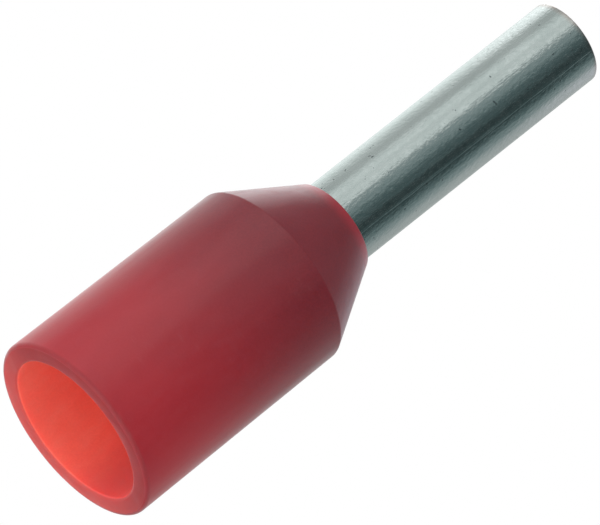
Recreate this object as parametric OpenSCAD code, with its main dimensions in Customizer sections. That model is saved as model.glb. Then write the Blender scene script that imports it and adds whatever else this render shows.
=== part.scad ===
// Insulated wire-end ferrule: a drawn metal barrel with a flared end, seated in a
// moulded plastic sleeve. The sleeve's mouth rim lies on z = 0 and the barrel points up.

/* [Sleeve] */
// Bore that takes the insulated wire
wire_bore_d = 3; // [2.2:0.1:3.4]
// Wall of the sleeve at the mouth
sleeve_wall = 0.4; // [0.3:0.05:0.8]
// Outer wall lost between mouth and shoulder, so that the sleeve leaves its mould
draft = 0.04; // [0:0.01:0.1]
// Length of the straight part, from the mouth to the shoulder
straight_len = 4.95; // [4:0.05:12]
// Length of the outer cone, from the shoulder to the nose face
cone_len = 1.6; // [1.3:0.05:3]
// Step just inside the shoulder's edge, where the two halves of the mould meet
shoulder_step = 0.03; // [0.01:0.01:0.08]
// Wall of the sleeve at the nose face
nose_wall = 0.11; // [0.08:0.01:0.3]
// Rounding of the outer rims at the mouth and the nose
rim_round = 0.05; // [0.02:0.01:0.07]
// Rounding of the mouth's inner lip, which leads the wire in
lip_round = 0.12; // [0.05:0.01:0.2]

/* [Seat] */
// Length of the nose that grips the barrel
grip_len = 0.75; // [0.4:0.05:1.2]
// Draft of the grip: how much its radius grows from the nose face to the bend
grip_draft = 0.01; // [0:0.005:0.03]
// Half angle of the inner funnel and of the flare that seats on it
funnel_angle = 30; // [20:1:40]
// Radius at which the barrel's wall bends out into the flare
bend_round = 0.2; // [0.1:0.05:0.4]
// Gap between the barrel and the plastic that grips it
seat_gap = 0; // [0:0.005:0.02]

/* [Barrel] */
// Bore that takes the bare strands
strand_bore_d = 1.4; // [1:0.05:1.7]
// Wall of the drawn tube
barrel_wall = 0.15; // [0.1:0.01:0.25]
// Length of barrel that stands out of the nose
pin_len = 6.15; // [4:0.05:18]
// Length of the flared cone, measured along its slope
flare_len = 0.4; // [0.2:0.05:0.6]
// Rounding of the cut edges at the tip
tip_round = 0.03; // [0.01:0.01:0.05]

/* [Hidden] */

$fn = 96;
ARC_STEPS = 6;

wire_bore_r = wire_bore_d / 2;
mouth_r = wire_bore_r + sleeve_wall;
shoulder_r = mouth_r - draft;
strand_bore_r = strand_bore_d / 2;
barrel_r = strand_bore_r + barrel_wall;
grip_r = barrel_r + seat_gap;
nose_r = grip_r + nose_wall;
sleeve_len = straight_len + cone_len;
tip_z = sleeve_len + pin_len;

// Where the nose's grip ends and the bend begins, on the way to the mouth
bend_z = sleeve_len - grip_len;
// The bend turns about this radius, so sleeve and barrel share one centre
bend_centre_r = grip_r + grip_draft + bend_round;
// The funnel leaves the bend here and widens down to the wire bore
funnel_start_r = bend_centre_r - bend_round * cos(funnel_angle);
funnel_start_z = bend_z - bend_round * sin(funnel_angle);
funnel_end_z = funnel_start_z - (wire_bore_r - funnel_start_r) / tan(funnel_angle);

// Half angle of the outer cone, found from its two ends
cone_base_r = shoulder_r - shoulder_step;
cone_angle = atan((cone_base_r - nose_r) / cone_len);

// Points of an arc about a centre, from one angle to another, as [radius, height]
function arc(centre, r, from, to) = [
    for (i = [0:ARC_STEPS])
        let (a = from + (to - from) * i / ARC_STEPS)
            [centre[0] + r * cos(a), centre[1] + r * sin(a)]
];

// One wall of the bend, offset into the barrel by its depth below the seat
function bend_arc(depth, from, to) =
    arc([bend_centre_r, bend_z], bend_round + depth, 180 + from, 180 + to);

// The moulded sleeve: mouth with a rounded lip, drafted wall, crisp shoulder, outer
// cone, and inside it the funnel on which the barrel's flare seats
module insulating_sleeve() {
    mouth_rim = arc([mouth_r - rim_round, rim_round], rim_round, -90, 0);
    shoulder_edge = arc([cone_base_r, straight_len - shoulder_step], shoulder_step, 0, 90);
    nose_rim_r = nose_r - rim_round * tan(45 - cone_angle / 2);
    nose_rim = arc([nose_rim_r, sleeve_len - rim_round], rim_round, cone_angle, 90);
    funnel_throat = bend_arc(0, 0, funnel_angle);
    lip = arc([wire_bore_r + lip_round, lip_round], lip_round, 180, 270);

    color("firebrick")
    rotate_extrude()
    polygon(concat(
        mouth_rim,
        shoulder_edge,
        nose_rim,
        [[grip_r, sleeve_len]],
        funnel_throat,
        [[wire_bore_r, funnel_end_z]],
        lip
    ));
}

// The drawn tube: cut square at the tip with its edges eased. From the nose face inwards
// it opens with the grip's draft, and its end is flared parallel to the sleeve's funnel
module barrel() {
    flare_step = flare_len * [sin(funnel_angle), -cos(funnel_angle)];
    outer_bend = bend_arc(seat_gap, 0, funnel_angle);
    inner_bend = bend_arc(seat_gap + barrel_wall, funnel_angle, 0);
    flare_outer = outer_bend[ARC_STEPS] + flare_step;
    flare_inner = inner_bend[0] + flare_step;
    inner_tip = arc([strand_bore_r + tip_round, tip_z - tip_round], tip_round, 180, 90);
    outer_tip = arc([barrel_r - tip_round, tip_z - tip_round], tip_round, 90, 0);

    color("gainsboro")
    rotate_extrude()
    polygon(concat(
        inner_tip,
        outer_tip,
        [[barrel_r, sleeve_len]],
        outer_bend,
        [flare_outer, flare_inner],
        inner_bend,
        [[strand_bore_r, sleeve_len]]
    ));
}

insulating_sleeve();
barrel();
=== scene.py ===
"""Looks of the insulated wire ferrule: a moulded red sleeve and a drawn, tinned barrel."""

import math

import bmesh
import bpy
from mathutils import Matrix, Vector


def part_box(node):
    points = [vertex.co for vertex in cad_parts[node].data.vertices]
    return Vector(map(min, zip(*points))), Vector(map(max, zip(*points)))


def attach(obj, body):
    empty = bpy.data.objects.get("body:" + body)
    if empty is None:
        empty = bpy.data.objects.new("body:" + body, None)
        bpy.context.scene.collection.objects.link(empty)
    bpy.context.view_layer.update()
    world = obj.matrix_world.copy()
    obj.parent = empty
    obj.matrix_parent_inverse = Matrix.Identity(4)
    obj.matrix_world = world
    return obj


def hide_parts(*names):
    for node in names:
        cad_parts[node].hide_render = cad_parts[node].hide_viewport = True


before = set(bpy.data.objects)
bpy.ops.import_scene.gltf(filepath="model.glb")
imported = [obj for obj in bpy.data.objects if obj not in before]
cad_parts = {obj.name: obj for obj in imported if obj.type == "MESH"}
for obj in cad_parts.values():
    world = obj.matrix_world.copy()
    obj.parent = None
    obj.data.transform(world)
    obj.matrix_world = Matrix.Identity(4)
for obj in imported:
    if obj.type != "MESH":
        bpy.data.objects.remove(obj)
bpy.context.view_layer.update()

MM = 0.001

# ---------------------------------------------------------------- sizes, in millimetres

_, SLEEVE_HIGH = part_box("insulating_sleeve")
_, BARREL_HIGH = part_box("barrel")

MOUTH_R = SLEEVE_HIGH.x / MM
SLEEVE_LEN = SLEEVE_HIGH.z / MM
TIP_Z = BARREL_HIGH.z / MM

SLEEVE_WALL = 0.4
WIRE_BORE_R = MOUTH_R - SLEEVE_WALL
DRAFT = 0.04
STRAIGHT_LEN = 4.95
SHOULDER_ROUND = 0.09
NOSE_WALL = 0.11
NOSE_ROUND = 0.05
RIM_ROUND = 0.08
LIP_ROUND = 0.06

BARREL_R = 0.85
BARREL_WALL = 0.15
STRAND_BORE_R = BARREL_R - BARREL_WALL
# The sleeve's grip opens this much from the nose down to the bend over the funnel
GRIP_DRAFT = 0.01
GRIP_R = BARREL_R + GRIP_DRAFT
BEND_ROUND = 0.2
BEND_Z = 5.8
FUNNEL_ANGLE = math.radians(30)
BEND_INSET = BEND_ROUND * math.tan(FUNNEL_ANGLE / 2)
BEND_CORNER_Z = BEND_Z - BEND_INSET
FUNNEL_END_Z = BEND_CORNER_Z - (WIRE_BORE_R - GRIP_R) / math.tan(FUNNEL_ANGLE)
FLARE_LEN = 0.4
TIP_ROUND = 0.03
# The tube is cropped a touch out of square: the tip's +X side stands lower by twice this
TIP_SKEW = 0.022
# Everything above this is the tip's cut end
TIP_END_Z = TIP_Z - 0.05

TURN_STEPS = 192
SAME_PLACE = 0.0005
SHARP_ANGLE = math.radians(40)
# Points this close, in metres, become one: after the spin, and in the finished piece
SPIN_MERGE = 1e-7
LAST_MERGE = 1e-8
# Height of one step of a bump
BUMP_STEP = 0.004


# ---------------------------------------------------------------- mesh helpers

def spun(profile):
    """A bmesh of a closed profile of (radius, height) points in mm, spun about Z."""
    bm = bmesh.new()
    verts = [bm.verts.new((r * MM, 0, z * MM)) for r, z in profile]
    edges = [bm.edges.new(pair) for pair in zip(verts, verts[1:] + verts[:1])]
    bmesh.ops.spin(
        bm,
        geom=verts + edges,
        cent=(0, 0, 0),
        axis=(0, 0, 1),
        angle=2 * math.pi,
        steps=TURN_STEPS,
        use_merge=True,
    )
    bmesh.ops.remove_doubles(bm, verts=bm.verts, dist=SPIN_MERGE)
    bmesh.ops.recalc_face_normals(bm, faces=bm.faces)
    return bm


def ring(bm, radius, z):
    """The edges that run round Z at one radius and height, both in millimetres."""

    def on_ring(vert):
        off_radius = abs(math.hypot(vert.co.x, vert.co.y) - radius * MM)
        off_height = abs(vert.co.z - z * MM)
        return max(off_radius, off_height) < SAME_PLACE * MM

    return [edge for edge in bm.edges if all(on_ring(vert) for vert in edge.verts)]


def round_ring(bm, radius, z, offset, segments):
    """Rounds the ring of edges at one radius and height."""
    bmesh.ops.bevel(
        bm,
        geom=ring(bm, radius, z),
        offset=offset * MM,
        offset_type="OFFSET",
        affect="EDGES",
        segments=segments,
        profile=0.5,
        material=-1,
        clamp_overlap=True,
    )


def finish_piece(bm, name, node, materials):
    """Makes the bmesh an object that rides on the part and stands for its CAD node."""
    bmesh.ops.remove_doubles(bm, verts=bm.verts, dist=LAST_MERGE)
    bmesh.ops.recalc_face_normals(bm, faces=bm.faces)
    mesh = bpy.data.meshes.new(name)
    bm.to_mesh(mesh)
    bm.free()
    mesh.polygons.foreach_set("use_smooth", [True] * len(mesh.polygons))
    mesh.set_sharp_from_angle(angle=SHARP_ANGLE)
    for material in materials:
        mesh.materials.append(material)
    piece = bpy.data.objects.new(name, mesh)
    bpy.context.scene.collection.objects.link(piece)
    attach(piece, "root")
    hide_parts(node)


# ---------------------------------------------------------------- node helpers

def link(tree, out_socket, in_socket):
    tree.links.new(out_socket, in_socket)


def add_node(tree, kind, inputs=None, **properties):
    """Adds a node and sets its properties, and its inputs by name."""
    node = tree.nodes.new(kind)
    for key, value in properties.items():
        setattr(node, key, value)
    for name, value in (inputs or {}).items():
        node.inputs[name].default_value = value
    return node


def math_node(tree, operation, a, b=None):
    """A Math node on sockets or numbers; returns its output."""
    node = add_node(tree, "ShaderNodeMath", operation=operation)
    for index, entry in enumerate((a, b)):
        if entry is None:
            continue
        if isinstance(entry, (int, float)):
            node.inputs[index].default_value = entry
        else:
            link(tree, entry, node.inputs[index])
    return node.outputs[0]


def times(tree, a, b):
    return math_node(tree, "MULTIPLY", a, b)


def total(tree, *terms):
    """The sum of two or more sockets."""
    result = terms[0]
    for term in terms[1:]:
        result = math_node(tree, "ADD", result, term)
    return result


def map_range(tree, value, from_min, from_max, to_min=0.0, to_max=1.0, smooth=True):
    """A Map Range node on a socket; returns its output."""
    node = add_node(
        tree,
        "ShaderNodeMapRange",
        interpolation_type="SMOOTHSTEP" if smooth else "LINEAR",
        inputs={
            "From Min": from_min,
            "From Max": from_max,
            "To Min": to_min,
            "To Max": to_max,
        },
    )
    link(tree, value, node.inputs["Value"])
    return node.outputs["Result"]


def mix_colour(tree, factor, a, b):
    """Mixes two colours, each a socket or a plain colour; returns the output."""
    node = add_node(tree, "ShaderNodeMix", data_type="RGBA", blend_type="MIX")
    factor_in, a_in, b_in = (node.inputs[index] for index in (0, 6, 7))
    link(tree, factor, factor_in)
    for entry, socket in ((a, a_in), (b, b_in)):
        if isinstance(entry, tuple):
            socket.default_value = entry + (1.0,)
        else:
            link(tree, entry, socket)
    return node.outputs[2]


def group_tree(name, inputs, outputs):
    """A shader node group with named float or vector sockets; returns tree, in, out."""
    tree = bpy.data.node_groups.new(name, "ShaderNodeTree")
    for socket_name, kind, default in inputs:
        socket = tree.interface.new_socket(socket_name, in_out="INPUT", socket_type=kind)
        socket.default_value = default
    for socket_name in outputs:
        tree.interface.new_socket(socket_name, in_out="OUTPUT", socket_type="NodeSocketFloat")
    return tree, tree.nodes.new("NodeGroupInput"), tree.nodes.new("NodeGroupOutput")


# ---------------------------------------------------------------- shared effects

def axis_group():
    """Height above the mouth in millimetres, and the turn round the axis in radians."""
    tree, _, out = group_tree("Around the axis", [], ["Height", "Turn"])
    coords = add_node(tree, "ShaderNodeTexCoord")
    parts = add_node(tree, "ShaderNodeSeparateXYZ")
    link(tree, coords.outputs["Object"], parts.inputs[0])
    link(tree, math_node(tree, "DIVIDE", parts.outputs["Z"], MM), out.inputs["Height"])
    turn = math_node(tree, "ARCTAN2", parts.outputs["Y"], parts.outputs["X"])
    link(tree, turn, out.inputs["Turn"])
    return tree


def grain_group():
    """Noise on Object coordinates, stretched by its own size on each axis."""
    tree, inp, out = group_tree(
        "Surface grain",
        [
            ("Per mm", "NodeSocketVector", (1.0, 1.0, 1.0)),
            ("Detail", "NodeSocketFloat", 3.0),
            ("Low", "NodeSocketFloat", 0.35),
            ("High", "NodeSocketFloat", 0.65),
        ],
        ["Value"],
    )
    coords = add_node(tree, "ShaderNodeTexCoord")
    to_mm = add_node(tree, "ShaderNodeVectorMath", operation="SCALE", inputs={"Scale": 1 / MM})
    link(tree, coords.outputs["Object"], to_mm.inputs[0])
    stretch = add_node(tree, "ShaderNodeVectorMath", operation="MULTIPLY")
    link(tree, to_mm.outputs[0], stretch.inputs[0])
    link(tree, inp.outputs["Per mm"], stretch.inputs[1])
    noise = add_node(tree, "ShaderNodeTexNoise", inputs={"Scale": 1.0, "Roughness": 0.6})
    link(tree, stretch.outputs[0], noise.inputs["Vector"])
    link(tree, inp.outputs["Detail"], noise.inputs["Detail"])
    limit = add_node(tree, "ShaderNodeMapRange", interpolation_type="SMOOTHSTEP")
    link(tree, noise.outputs[0], limit.inputs["Value"])
    link(tree, inp.outputs["Low"], limit.inputs["From Min"])
    link(tree, inp.outputs["High"], limit.inputs["From Max"])
    link(tree, limit.outputs["Result"], out.inputs["Value"])
    return tree


AROUND_AXIS = axis_group()
GRAIN = grain_group()


def around_axis(tree):
    node = add_node(tree, "ShaderNodeGroup", node_tree=AROUND_AXIS)
    return node.outputs["Height"], node.outputs["Turn"]


def grain(tree, per_mm, low=0.35, high=0.65, detail=3.0):
    """A 0 to 1 mask of noise with so many bumps per millimetre along each axis."""
    node = add_node(
        tree,
        "ShaderNodeGroup",
        node_tree=GRAIN,
        inputs={"Per mm": per_mm, "Detail": detail, "Low": low, "High": high},
    )
    return node.outputs["Value"]


def new_material(name):
    material = bpy.data.materials.new(name)
    material.use_nodes = True
    tree = material.node_tree
    return material, tree, tree.nodes["Principled BSDF"]


def set_inputs(shader, values):
    for name, value in values.items():
        shader.inputs[name].default_value = value


def bumped(tree, shader, heights, strength):
    """Feeds a height, in bump steps, to the shader's normal."""
    bump = add_node(
        tree, "ShaderNodeBump", inputs={"Strength": strength, "Distance": BUMP_STEP * MM}
    )
    link(tree, heights, bump.inputs["Height"])
    link(tree, bump.outputs["Normal"], shader.inputs["Normal"])


# ---------------------------------------------------------------- finishes

# Each pair of colours is a range: a grain moves the colour in it, and at the rim the turn does
# Painted glow and shade: lighter reds for the outside near the mouth, deeper reds towards the
# shoulder
MOUTH_GLOW_REDS = (0.385, 0.018, 0.030), (0.43, 0.023, 0.036)
SHOULDER_SHADE_REDS = (0.165, 0.018, 0.028), (0.19, 0.021, 0.032)
# Painted glow at the nose
NOSE_GLOW_RED = (0.46, 0.026, 0.045)
# Painted shade for the rim's rounded outer edge
RIM_EDGE_SHADE_RED = (0.29, 0.026, 0.034)
SPECKLE_RED = (0.50, 0.06, 0.07)
RUBBED_RED = (0.60, 0.20, 0.21)
# Painted glow: the bore's bright reds stand for light that comes through the wall
BORE_GLOW_REDS = (0.97, 0.21, 0.155), (0.99, 0.25, 0.185)
# Painted shade for the bore's +X side
SHADED_BORE_RED = (0.68, 0.10, 0.095)
# Painted shade and light on the rim: darker towards -Y, lighter towards +Y
RIM_SHADED_TO_LIT_REDS = (0.25, 0.028, 0.032), (0.46, 0.070, 0.065)
FUNNEL_RED = (0.42, 0.035, 0.042)
TINS = (0.67, 0.735, 0.72), (0.74, 0.80, 0.785)
MOTTLED_TIN = (0.60, 0.68, 0.655)
PIT_GREY = (0.12, 0.15, 0.16)
COPPERS = (0.58, 0.49, 0.45), (0.64, 0.55, 0.51)

PLASTIC_ROUGHNESS = 0.285, 0.36
TIN_ROUGHNESS = 0.17, 0.24
PLASTIC_IOR = 1.5

# Turn of the one long draw line on the tube
DRAW_LINE_TURN = -1.066


def plastic_surface(tree, shader, colour, haze):
    """Moulded grain, gentle flow waves and a satin gloss, shared by both plastic finishes."""
    flow = grain(tree, (1.5, 1.5, 0.25), 0.3, 0.7, 0.5)
    fine = grain(tree, (26.0, 26.0, 26.0), 0.3, 0.7, 2.0)
    scuff = grain(tree, (3.0, 3.0, 9.0), 0.62, 0.74)
    colour = mix_colour(tree, times(tree, fine, 0.10), colour, SPECKLE_RED)
    colour = mix_colour(tree, times(tree, scuff, 0.04), colour, RUBBED_RED)
    link(tree, colour, shader.inputs["Base Color"])

    satin = map_range(tree, haze, 0.0, 1.0, *PLASTIC_ROUGHNESS, smooth=False)
    link(tree, total(tree, satin, times(tree, scuff, 0.10)), shader.inputs["Roughness"])

    heights = total(tree, times(tree, fine, 0.22), times(tree, flow, 6.0))
    bumped(tree, shader, heights, 0.35)


def outer_plastic():
    """Outside of the sleeve: satin crimson, painted lighter near the mouth and deeper towards
    the shoulder as painted glow and shade, with a painted glow at the nose and painted shade
    on the rim's edge.
    """
    material, tree, shader = new_material("Red plastic outside")
    height, _ = around_axis(tree)
    flow = grain(tree, (0.8, 0.8, 0.35), 0.3, 0.7)
    haze = grain(tree, (5.0, 5.0, 1.2), 0.35, 0.75)

    # Painted glow and shade: the outside goes from lighter near the mouth to deeper towards
    # the shoulder, for light that comes through the wall from the bright bore
    mouth_glow = mix_colour(tree, flow, *MOUTH_GLOW_REDS)
    shoulder_shade = mix_colour(tree, flow, *SHOULDER_SHADE_REDS)
    colour = mix_colour(tree, map_range(tree, height, 0.2, 5.6), mouth_glow, shoulder_shade)
    # Painted glow: a lighter red ring round the nose, where the light falls on it
    nose_glow = map_range(tree, height, SLEEVE_LEN - 0.35, SLEEVE_LEN - 0.05)
    colour = mix_colour(tree, times(tree, nose_glow, 0.55), colour, NOSE_GLOW_RED)
    # Painted shade: the rounded outer edge of the rim is painted darker
    rim_edge_shade = map_range(tree, height, 0.10, 0.02)
    colour = mix_colour(tree, rim_edge_shade, colour, RIM_EDGE_SHADE_RED)
    plastic_surface(tree, shader, colour, haze)

    set_inputs(
        shader,
        {
            "Subsurface Weight": 0.6,
            "Subsurface Radius": (1.0, 0.16, 0.12),
            "Subsurface Scale": 0.10 * MM,
            "IOR": PLASTIC_IOR,
            "Specular IOR Level": 0.62,
            "Sheen Weight": 0.30,
            "Sheen Roughness": 0.25,
        },
    )
    return material


def bore_plastic():
    """Rim and inside of the mouth: light comes through the wall, and this light is painted
    into the bore's colour as a bright red glow, beside the real subsurface glow.

    The bore has painted shade on the +X side, and the rim is painted darker towards -Y and
    lighter towards +Y, for how the light falls through the wall.
    """
    material, tree, shader = new_material("Red plastic bore")
    height, turn = around_axis(tree)
    haze = grain(tree, (4.0, 4.0, 1.6), 0.35, 0.75)

    # Painted glow: the bore is painted bright, for light that comes through the wall
    colour = mix_colour(tree, haze, *BORE_GLOW_REDS)
    # Painted shade: the bore is painted deeper on the +X side, where less light comes through
    # the wall
    shaded = map_range(tree, math_node(tree, "COSINE", turn), 0.1, 0.95)
    colour = mix_colour(tree, shaded, colour, SHADED_BORE_RED)
    # Painted light and shade: the rim is painted darker towards -Y and lighter towards +Y,
    # where light comes through the far wall
    lit_side = map_range(tree, math_node(tree, "SINE", turn), -0.5, 0.9)
    lip = map_range(tree, height, 0.04, 0.01)
    colour = mix_colour(tree, lip, colour, mix_colour(tree, lit_side, *RIM_SHADED_TO_LIT_REDS))
    # The bore's painted glow gives way to a plainer red deep inside, at the funnel
    colour = mix_colour(tree, map_range(tree, height, 4.2, 5.4), colour, FUNNEL_RED)
    plastic_surface(tree, shader, colour, haze)

    set_inputs(
        shader,
        {
            "Subsurface Weight": 1.0,
            "Subsurface Radius": (1.0, 0.22, 0.16),
            "Subsurface Scale": 0.55 * MM,
            "IOR": PLASTIC_IOR,
            "Specular IOR Level": 0.25,
        },
    )
    return material


def tinned_metal():
    """Drawn copper tube with a dull tin plating: fine mottle, a draw line and a few pits."""
    material, tree, shader = new_material("Drawn tinned tube")
    height, turn = around_axis(tree)

    streak = grain(tree, (9.0, 9.0, 0.15), 0.3, 0.7)
    cloud = grain(tree, (2.4, 2.4, 1.2), 0.3, 0.7)
    mottle = grain(tree, (14.0, 14.0, 10.0), 0.32, 0.68)
    pit = grain(tree, (12.0, 12.0, 10.0), 0.735, 0.755, 1.0)
    wander = times(tree, grain(tree, (0.6, 0.6, 0.6)), 0.02)
    off_line = math_node(tree, "ABSOLUTE", math_node(tree, "SUBTRACT", turn, DRAW_LINE_TURN))
    off_line = math_node(tree, "ABSOLUTE", math_node(tree, "SUBTRACT", off_line, wander))
    draw_line = map_range(tree, off_line, 0.022, 0.004)

    tin = mix_colour(tree, cloud, *TINS)
    tin = mix_colour(tree, times(tree, mottle, 0.35), tin, MOTTLED_TIN)
    tin = mix_colour(tree, times(tree, pit, 0.8), tin, PIT_GREY)
    # The shear leaves the cut end bare, with a ragged edge to the plating
    cut = map_range(tree, height, TIP_Z - 0.16, TIP_Z - 0.03)
    ragged = times(tree, cut, map_range(tree, mottle, 0.0, 1.0, 0.5, 0.8))
    colour = mix_colour(tree, ragged, tin, mix_colour(tree, cloud, *COPPERS))
    link(tree, colour, shader.inputs["Base Color"])
    set_inputs(shader, {"Metallic": 1.0})

    gloss = map_range(tree, mottle, 0.0, 1.0, *TIN_ROUGHNESS, smooth=False)
    link(tree, total(tree, gloss, times(tree, cut, 0.02)), shader.inputs["Roughness"])

    heights = total(
        tree,
        times(tree, streak, 0.6),
        times(tree, draw_line, 1.2),
        times(tree, mottle, 0.85),
        times(tree, pit, -0.5),
    )
    bumped(tree, shader, heights, 0.5)
    return material


# ---------------------------------------------------------------- pieces

def insulating_sleeve(outside, bore):
    """Sleeve with a rounded mouth, crisp shoulder, outer cone and the funnel inside."""
    shoulder_r = MOUTH_R - DRAFT
    nose_r = BARREL_R + NOSE_WALL
    cone_angle = math.atan((shoulder_r - nose_r) / (SLEEVE_LEN - STRAIGHT_LEN))

    side = [(MOUTH_R - DRAFT * part, STRAIGHT_LEN * part) for part in (0, 0.25, 0.5, 0.75, 1)]
    cone = [
        ((shoulder_r + nose_r) / 2, (STRAIGHT_LEN + SLEEVE_LEN) / 2),
        (nose_r, SLEEVE_LEN),
    ]
    grip = [(BARREL_R, SLEEVE_LEN), (GRIP_R, BEND_CORNER_Z)]
    wire_bore = [(WIRE_BORE_R, FUNNEL_END_Z * part) for part in (1, 0.66, 0.33, 0)]
    bm = spun(side + cone + grip + wire_bore)

    shoulder_inset = SHOULDER_ROUND * math.tan(cone_angle / 2)
    nose_inset = NOSE_ROUND * math.tan((math.pi / 2 - cone_angle) / 2)
    round_ring(bm, MOUTH_R, 0, RIM_ROUND, 5)
    round_ring(bm, WIRE_BORE_R, 0, LIP_ROUND, 7)
    round_ring(bm, shoulder_r, STRAIGHT_LEN, shoulder_inset, 6)
    round_ring(bm, nose_r, SLEEVE_LEN, nose_inset, 4)
    round_ring(bm, GRIP_R, BEND_CORNER_Z, BEND_INSET, 4)
    for face in bm.faces:
        middle = face.calc_center_median()
        radius = math.hypot(middle.x, middle.y)
        if radius < (MOUTH_R - RIM_ROUND) * MM and middle.z < FUNNEL_END_Z * MM:
            face.material_index = 1
    finish_piece(bm, "moulded_sleeve", "insulating_sleeve", [outside, bore])


def barrel(material):
    """Tube with eased cut edges at the tip and its other end flared onto the funnel."""
    reach = BEND_INSET + FLARE_LEN
    flare_outer = (
        GRIP_R + math.sin(FUNNEL_ANGLE) * reach,
        BEND_CORNER_Z - math.cos(FUNNEL_ANGLE) * reach,
    )
    flare_inner = (
        flare_outer[0] - BARREL_WALL * math.cos(FUNNEL_ANGLE),
        flare_outer[1] - BARREL_WALL * math.sin(FUNNEL_ANGLE),
    )
    inner_r = GRIP_R - BARREL_WALL
    inner_inset = (BEND_ROUND + BARREL_WALL) * math.tan(FUNNEL_ANGLE / 2)
    inner_corner_z = BEND_Z - inner_inset
    pin_middle_z = (TIP_Z + SLEEVE_LEN) / 2

    bm = spun([
        (STRAND_BORE_R, TIP_Z),
        (BARREL_R, TIP_Z),
        (BARREL_R, pin_middle_z),
        (BARREL_R, SLEEVE_LEN),
        (GRIP_R, BEND_CORNER_Z),
        flare_outer,
        flare_inner,
        (inner_r, inner_corner_z),
        (STRAND_BORE_R, SLEEVE_LEN),
        (STRAND_BORE_R, pin_middle_z),
    ])
    round_ring(bm, BARREL_R, TIP_Z, TIP_ROUND, 4)
    round_ring(bm, STRAND_BORE_R, TIP_Z, TIP_ROUND, 4)
    round_ring(bm, GRIP_R, BEND_CORNER_Z, BEND_INSET, 4)
    round_ring(bm, inner_r, inner_corner_z, inner_inset, 4)

    skew = Matrix.Translation((0, 0, -TIP_SKEW * MM))
    skew[2][0] = -TIP_SKEW / BARREL_R
    tip = [vert for vert in bm.verts if vert.co.z > TIP_END_Z * MM]
    bmesh.ops.transform(bm, matrix=skew, verts=tip)
    finish_piece(bm, "drawn_barrel", "barrel", [material])


# ---------------------------------------------------------------- studio

VIEW_TILT = math.radians(24.97)
VIEW_ROLL = math.radians(38.373)
VIEW_LENS = 630.0
# The camera's distance to the mouth's plane, and the mouth's place in the view, in mm
VIEW_DISTANCE = 189.77
MOUTH_IN_VIEW = (-4.081, -3.044)

# The floor lies this far under the rim, so that the two faces don't coincide
FLOOR_GAP = 0.02
FLOOR_R = 400
FLOOR_FADE_END = 34
FLOOR_FADE_START = 14
FLOOR_GREY = (0.86, 0.86, 0.86, 1.0)
# Reflections see the floor only this far out from the rim and beyond
RIM_CLEARANCE = 0.3

# What a glossy surface sees round the part, by turn from the front (-Y) towards +X
STUDIO_RING = [
    (-180, 1.02), (-157, 1.01), (-140, 0.93), (-122, 0.70), (-105, 0.49), (-92, 0.42),
    (-80, 0.42), (-68, 0.60), (-57, 0.75), (-47, 0.58), (-38, 0.60), (-28, 0.79),
    (-21, 0.45), (-14, 0.25), (0, 0.25), (9, 0.15), (18, 0.085), (28, 0.082), (38, 0.045),
    (47, 0.022), (57, 0.045), (68, 0.043), (80, 0.14), (92, 0.23), (106, 0.31), (123, 0.42),
    (140, 0.42), (157, 0.44), (168, 0.54), (180, 1.02),
]
COOL = (0.42, 1.04, 1.11)
NEUTRAL = (0.96, 1.01, 1.0)
# Levels from here up are neutral
NEUTRAL_LEVEL = 0.42
UNDER_GREY = (0.10, 0.105, 0.105)
OVERHEAD_GREY = (0.12, 0.125, 0.135)
REAR_LIGHTS = (1.7, 1.7, 1.72), (0.62, 0.60, 0.66)
WHITE = (1.0, 1.0, 1.0)


def camera():
    """A long lens, a little below the mouth rim and looking up at it."""
    tilt_cos, tilt_sin = math.cos(VIEW_TILT), math.sin(VIEW_TILT)
    roll_cos, roll_sin = math.cos(VIEW_ROLL), math.sin(VIEW_ROLL)
    ahead = Vector((0, tilt_cos, tilt_sin))
    right = Vector((roll_sin, -roll_cos * tilt_sin, roll_cos * tilt_cos))
    up = Vector((-roll_cos, -roll_sin * tilt_sin, roll_sin * tilt_cos))
    place = -(MOUTH_IN_VIEW[0] * right + MOUTH_IN_VIEW[1] * up + VIEW_DISTANCE * ahead) * MM
    data = bpy.data.cameras.new("Camera")
    data.lens = VIEW_LENS
    data.sensor_width = 36.0
    data.clip_start = 0.01
    data.clip_end = 10.0
    obj = bpy.data.objects.new("Camera", data)
    bpy.context.scene.collection.objects.link(obj)
    turn = Matrix((right, up, -ahead)).transposed()
    obj.matrix_world = Matrix.Translation(place) @ turn.to_4x4()
    bpy.context.scene.camera = obj


def camera_and_mirrored_rays(tree):
    """Masks of the rays from the camera, and of those that a surface reflects or bends."""
    path = add_node(tree, "ShaderNodeLightPath")
    mirrored = math_node(
        tree, "MAXIMUM", path.outputs["Is Glossy Ray"], path.outputs["Is Transmission Ray"]
    )
    return path.outputs["Is Camera Ray"], mirrored


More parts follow.
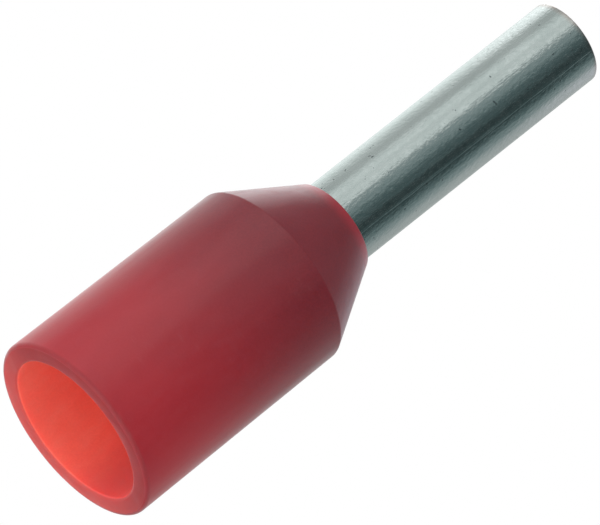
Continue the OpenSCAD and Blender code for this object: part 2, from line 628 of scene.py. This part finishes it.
def floor_paint():
    """Pale matt paint that fades out round the part and is see-through from below."""
    material = bpy.data.materials.new("Pale floor")
    material.use_nodes = True
    tree = material.node_tree
    tree.nodes.clear()
    out = add_node(tree, "ShaderNodeOutputMaterial")
    paint = add_node(tree, "ShaderNodeBsdfDiffuse", inputs={"Color": FLOOR_GREY})
    clear = add_node(tree, "ShaderNodeBsdfTransparent")
    geometry = add_node(tree, "ShaderNodeNewGeometry")
    coords = add_node(tree, "ShaderNodeTexCoord")
    length = add_node(tree, "ShaderNodeVectorMath", operation="LENGTH")
    link(tree, coords.outputs["Object"], length.inputs[0])
    out_from_part = length.outputs["Value"]

    near = map_range(tree, out_from_part, FLOOR_FADE_END * MM, FLOOR_FADE_START * MM)
    from_camera, mirrored = camera_and_mirrored_rays(tree)
    off_the_rim = math_node(
        tree, "GREATER_THAN", out_from_part, (MOUTH_R + RIM_CLEARANCE) * MM
    )
    mirrored = times(tree, mirrored, off_the_rim)
    seen = math_node(tree, "MAXIMUM", from_camera, mirrored)
    above = math_node(tree, "SUBTRACT", 1.0, geometry.outputs["Backfacing"])
    mix = add_node(tree, "ShaderNodeMixShader")
    link(tree, times(tree, times(tree, seen, above), near), mix.inputs[0])
    link(tree, clear.outputs[0], mix.inputs[1])
    link(tree, paint.outputs[0], mix.inputs[2])
    link(tree, mix.outputs[0], out.inputs["Surface"])
    return material


def floor():
    """A pale floor under the mouth rim, seen from above; light from below passes it."""
    bm = bmesh.new()
    bmesh.ops.create_circle(bm, cap_ends=True, segments=96, radius=FLOOR_R * MM)
    bmesh.ops.translate(bm, vec=(0, 0, -FLOOR_GAP * MM), verts=bm.verts)
    for face in bm.faces:
        face.normal_update()
        if face.normal.z < 0:
            face.normal_flip()
    mesh = bpy.data.meshes.new("floor")
    bm.to_mesh(mesh)
    bm.free()
    mesh.materials.append(floor_paint())
    obj = bpy.data.objects.new("floor", mesh)
    bpy.context.scene.collection.objects.link(obj)


def ring_colour(level):
    """The colour of the surroundings at a level: the dark screens are a little cool."""
    share = min(level / NEUTRAL_LEVEL, 1.0) ** 0.6
    tint = [cool + (plain - cool) * share for cool, plain in zip(COOL, NEUTRAL)]
    return tuple(level * part for part in tint) + (1.0,)


def reflected_light(tree, parts):
    """What reflections see: the ring of screens, dimmer under and over, bright behind."""
    turn = math_node(
        tree, "ARCTAN2", parts.outputs["X"], times(tree, parts.outputs["Y"], -1.0)
    )
    place = map_range(tree, turn, -math.pi, math.pi, smooth=False)
    ramp = add_node(tree, "ShaderNodeValToRGB")
    ramp.color_ramp.interpolation = "EASE"
    stops = ramp.color_ramp.elements
    stops[0].color = ring_colour(STUDIO_RING[0][1])
    stops[1].color = ring_colour(STUDIO_RING[-1][1])
    for degrees, level in STUDIO_RING[1:-1]:
        stop = stops.new((degrees + 180) / 360)
        stop.color = ring_colour(level)
    link(tree, place, ramp.inputs["Fac"])

    under = map_range(tree, parts.outputs["Z"], -0.1, -0.4)
    light = mix_colour(tree, under, ramp.outputs["Color"], UNDER_GREY)
    overhead = map_range(tree, parts.outputs["Z"], 0.62, 0.95)
    light = mix_colour(tree, overhead, light, OVERHEAD_GREY)
    behind = map_range(tree, parts.outputs["Y"], 0.1, 0.6)
    high = map_range(tree, parts.outputs["Z"], 0.44, 0.60)
    rear = map_range(tree, parts.outputs["X"], -0.3, 0.3)
    rear_light = mix_colour(tree, rear, *REAR_LIGHTS)
    return mix_colour(tree, times(tree, behind, high), light, rear_light)


def soft_light(tree, parts):
    """Light for the matt side of the surfaces: fuller from -X and from below."""
    side = map_range(tree, parts.outputs["X"], -1.0, 1.0, 1.36, 0.54, smooth=False)
    back = map_range(tree, parts.outputs["Y"], -0.4, 1.0, 0.97, 0.92, smooth=False)
    low = map_range(tree, parts.outputs["Z"], -0.95, -0.50, 2.12, 0.92)
    return times(tree, times(tree, side, back), low)


def studio():
    """White to the camera, soft light on the part, and grey screens for its reflections."""
    world = bpy.data.worlds.new("Studio")
    bpy.context.scene.world = world
    world.use_nodes = True
    tree = world.node_tree
    tree.nodes.clear()
    out = add_node(tree, "ShaderNodeOutputWorld")
    coords = add_node(tree, "ShaderNodeTexCoord")
    parts = add_node(tree, "ShaderNodeSeparateXYZ")
    link(tree, coords.outputs["Generated"], parts.inputs[0])
    from_camera, mirrored = camera_and_mirrored_rays(tree)
    lit = mix_colour(tree, mirrored, soft_light(tree, parts), reflected_light(tree, parts))
    seen = mix_colour(tree, from_camera, lit, WHITE)
    background = add_node(tree, "ShaderNodeBackground", inputs={"Strength": 1.0})
    link(tree, seen, background.inputs["Color"])
    link(tree, background.outputs[0], out.inputs["Surface"])


insulating_sleeve(outer_plastic(), bore_plastic())
barrel(tinned_metal())
camera()
floor()
studio()

bpy.context.scene.view_settings.view_transform = "Standard"
